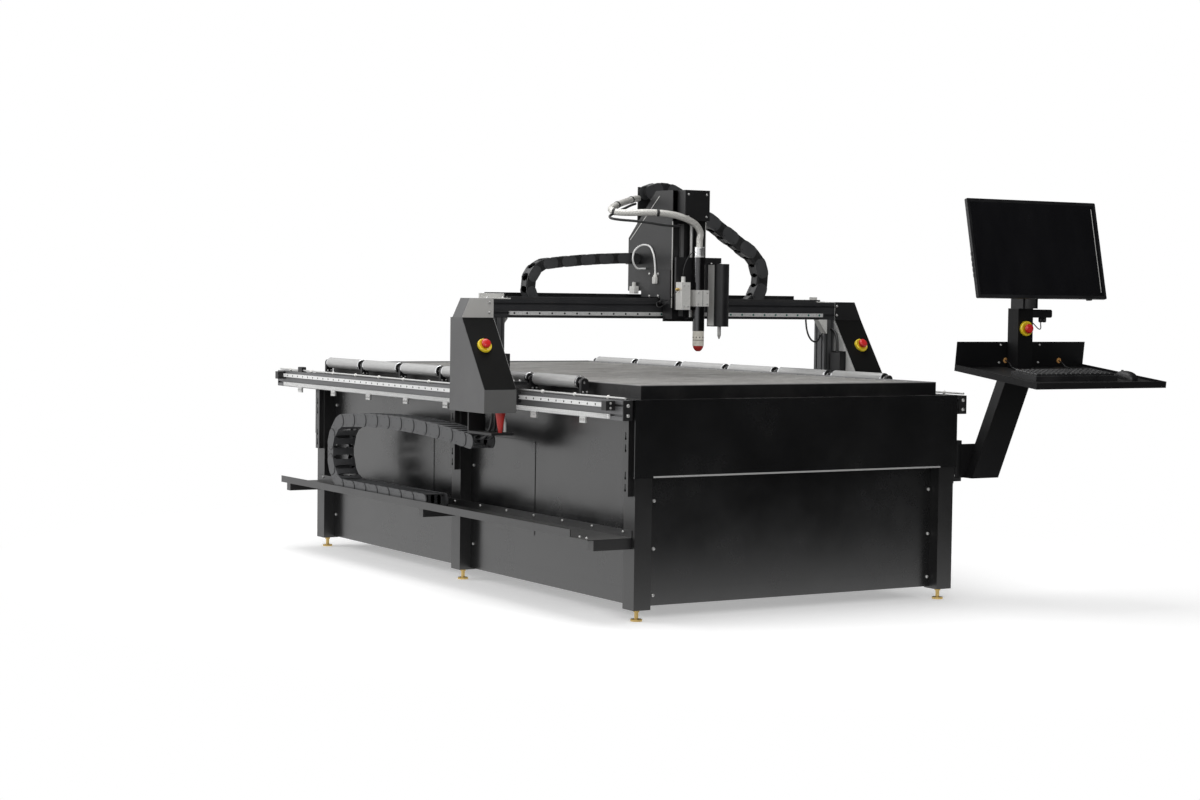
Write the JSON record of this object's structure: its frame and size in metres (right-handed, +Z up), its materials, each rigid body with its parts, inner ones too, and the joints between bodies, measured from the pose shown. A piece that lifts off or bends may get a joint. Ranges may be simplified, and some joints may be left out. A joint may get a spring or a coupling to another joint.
{
  "type": "gantry plasma cutting table",
  "caption": "Slat-bed cutting table with a sliding gantry beam, a cross carriage with a lifting plasma torch, load rollers and a swivelling operator console.",
  "frame": {"origin": "on the floor under the middle of the outer box", "axes": "+Z up, +Y along the table away from the console end, +X to the console side"},
  "size_m": [2.476, 3.7845, 1.7305],
  "materials": {
    "frame_grey": "satin powder coat",
    "panel_grey": "satin powder coat",
    "black_paint": "satin",
    "bed_steel": "mill",
    "slot_bar": "anodised",
    "dark_bar": "dark anodised",
    "ground_steel": "ground",
    "foot_brass": "plated",
    "roller_grey": "satin",
    "carrier_plastic": "moulded",
    "yellow_plastic": "moulded",
    "red_plastic": "moulded",
    "torch_barrel": "polished",
    "torch_cap": "moulded",
    "black_plastic": "moulded",
    "braid": "braided",
    "white_tube": "extruded"
  },
  "bodies": {
    "table": {"posts": "frame_grey", "levelling_feet": "foot_brass", "aprons": "frame_grey", "panels": "panel_grey", "bed_frame": "frame_grey", "bed_tub": "bed_steel", "slats": "bed_steel", "slat_racks": "bed_steel", "rails": "slot_bar", "rail_guides": "ground_steel", "gear_racks": "ground_steel", "rail_fittings": "slot_bar", "rail_brackets": "frame_grey", "roller_brackets": "black_paint", "chain_trough": "panel_grey", "gantry_chain": "carrier_plastic", "console_bracket": "black_paint"},
    "rollers_left": {"rollers_left": "roller_grey"},
    "rollers_right": {"rollers_right": "roller_grey"},
    "gantry": {"beam": "dark_bar", "beam_fittings": "ground_steel", "beam_tray": "slot_bar", "uprights": "dark_bar", "gantry_bases": "black_paint", "left_housing": "panel_grey", "right_housing": "panel_grey", "drive_motors": "black_paint", "estop_bases": "yellow_plastic", "beam_chain": "carrier_plastic", "lead_chain": "carrier_plastic", "chain_arm": "black_paint", "gantry_conduit": "red_plastic"},
    "pinion_left": {"pinion_left": "ground_steel"},
    "pinion_right": {"pinion_right": "ground_steel"},
    "button_left": {"button_left": "red_plastic"},
    "button_right": {"button_right": "red_plastic"},
    "carriage": {"carriage_frame": "panel_grey", "carriage_guides": "ground_steel", "head_cover": "panel_grey", "carriage_motors": "black_paint", "torch_lead": "braid", "air_tube": "white_tube"},
    "pinion_cross": {"pinion_cross": "ground_steel"},
    "lift_screw": {"lift_screw": "ground_steel"},
    "tool": {"tool_slide": "black_paint", "torch_clamp": "slot_bar", "torch_body": "torch_barrel", "torch_nozzle": "torch_cap", "breakaway_block": "slot_bar", "marker_housing": "black_plastic"},
    "scribe": {"scribe": "ground_steel"},
    "console": {"console_arm": "black_paint", "console_tray": "frame_grey", "console_mast": "frame_grey", "keyboard": "black_plastic", "mouse": "black_plastic", "console_estop": "yellow_plastic", "monitor_mount": "black_paint"},
    "console_button": {"console_button": "red_plastic"},
    "monitor": {"monitor": "black_plastic"}
  },
  "joints": [
    {"name": "gantry_travel", "type": "slide", "parent": "table", "child": "gantry", "axis": [0, 1, 0], "range_m": [-0.6, 1.95], "deforming": ["gantry_chain"]},
    {"name": "carriage_travel", "type": "slide", "parent": "gantry", "child": "carriage", "axis": [1, 0, 0], "range_m": [-0.6, 0.6], "deforming": ["beam_chain", "lead_chain"]},
    {"name": "torch_lift", "type": "slide", "parent": "carriage", "child": "tool", "axis": [0, 0, 1], "range_m": [-0.1, 0.06], "deforming": ["torch_lead"]},
    {"name": "scribe_stroke", "type": "slide", "parent": "tool", "child": "scribe", "axis": [0, 0, 1], "range_m": [-0.03, 0], "stiffness_N_per_m": 120, "springref_m": 0.03},
    {"name": "roller_spin_left", "type": "hinge", "parent": "table", "child": "rollers_left", "pos_m": [-0.9755, 0.0815, 0.896], "axis": [0, 1, 0], "continuous": true},
    {"name": "roller_spin_right", "type": "hinge", "parent": "table", "child": "rollers_right", "pos_m": [0.5395, 0.0815, 0.896], "axis": [0, 1, 0], "continuous": true},
    {"name": "pinion_left_spin", "type": "hinge", "parent": "gantry", "child": "pinion_left", "pos_m": [-1.093, -0.4705, 0.78], "axis": [0, 0, 1], "range_deg": [-3996, 1233]},
    {"name": "pinion_right_spin", "type": "hinge", "parent": "gantry", "child": "pinion_right", "pos_m": [0.657, -0.4705, 0.78], "axis": [0, 0, 1], "range_deg": [-1233, 3996]},
    {"name": "pinion_cross_spin", "type": "hinge", "parent": "carriage", "child": "pinion_cross", "pos_m": [-0.202, -0.3015, 1.205], "axis": [0, 0, 1], "range_deg": [-1233, 1233]},
    {"name": "lift_screw_spin", "type": "hinge", "parent": "carriage", "child": "lift_screw", "pos_m": [-0.202, -0.5375, 1.3], "axis": [0, 0, 1], "range_deg": [-2165, 3606]},
    {"name": "stop_left", "type": "slide", "parent": "gantry", "child": "button_left", "axis": [0, -0.821, 0.571], "range_m": [-0.005, 0], "stiffness_N_per_m": 1500, "springref_m": 0.002},
    {"name": "stop_right", "type": "slide", "parent": "gantry", "child": "button_right", "axis": [0, -0.821, 0.571], "range_m": [-0.005, 0], "stiffness_N_per_m": 1500, "springref_m": 0.002},
    {"name": "stop_console", "type": "slide", "parent": "console", "child": "console_button", "axis": [0, -1, 0], "range_m": [-0.005, 0], "stiffness_N_per_m": 1500, "springref_m": 0.002},
    {"name": "console_swivel", "type": "hinge", "parent": "table", "child": "console", "pos_m": [0.617, -1.3185, 0.57], "axis": [0, 0, 1], "range_deg": [-20, 60]},
    {"name": "monitor_tilt", "type": "hinge", "parent": "console", "child": "monitor", "pos_m": [0.843, -1.49157, 1.29979], "axis": [1, 0, 0], "range_deg": [-12, 12]}
  ],
  "couplings": [
    {"joint": "pinion_left_spin", "follows": "gantry_travel", "rad_per_m": -35.714},
    {"joint": "pinion_right_spin", "follows": "gantry_travel", "rad_per_m": 35.714},
    {"joint": "pinion_cross_spin", "follows": "carriage_travel", "rad_per_m": -35.714},
    {"joint": "lift_screw_spin", "follows": "torch_lift", "rad_per_m": -628.32}
  ]
}
